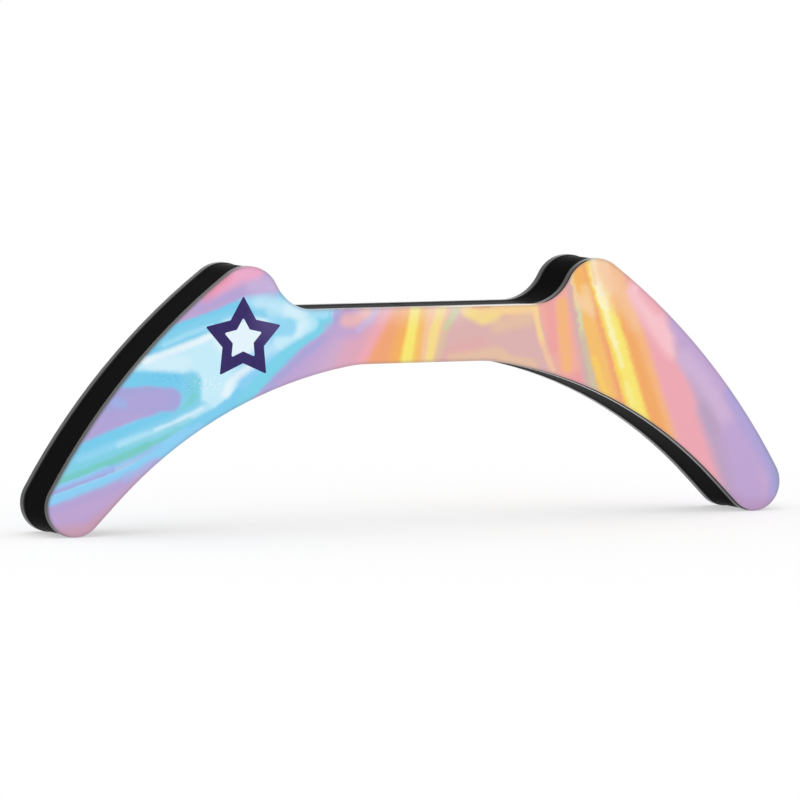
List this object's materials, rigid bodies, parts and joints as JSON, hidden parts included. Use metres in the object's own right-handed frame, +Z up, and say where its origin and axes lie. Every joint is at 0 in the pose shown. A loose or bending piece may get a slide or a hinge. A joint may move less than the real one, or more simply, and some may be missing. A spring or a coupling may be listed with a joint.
{
  "type": "boomerang",
  "caption": "Flat boomerang with drooping rounded wings and a straight grip bar, layered from glossy face plates round a black foam core, with a pearly film and a star on the front.",
  "frame": {"origin": "on the plane that both wing tips rest on, under the middle of the grip, halfway through the thickness", "axes": "+X along the span, +Y through the thickness from the decorated front face to the back face, +Z up from the wing tips to the grip and shoulders"},
  "size_m": [0.35, 0.03, 0.1127],
  "materials": {
    "decorated_film": "glossy iridescent print in sky blue, lilac, pink, orange and yellow",
    "emblem_vinyl": "glossy dark indigo",
    "face_plate": "polished dark grey edges with rounded arrises",
    "bond_sheet": "tacky double-sided adhesive sheet",
    "core_foam": "closed-cell black EVA foam",
    "edge_rubber": "matte black, finely textured"
  },
  "bodies": {
    "root": {"front_film": "decorated_film", "front_emblem": "emblem_vinyl", "front_plate": "face_plate", "front_bond_sheet": "bond_sheet", "foam_core": "core_foam", "edge_band": "edge_rubber", "back_bond_sheet": "bond_sheet", "back_plate": "face_plate", "back_film": "decorated_film"}
  },
  "joints": []
}
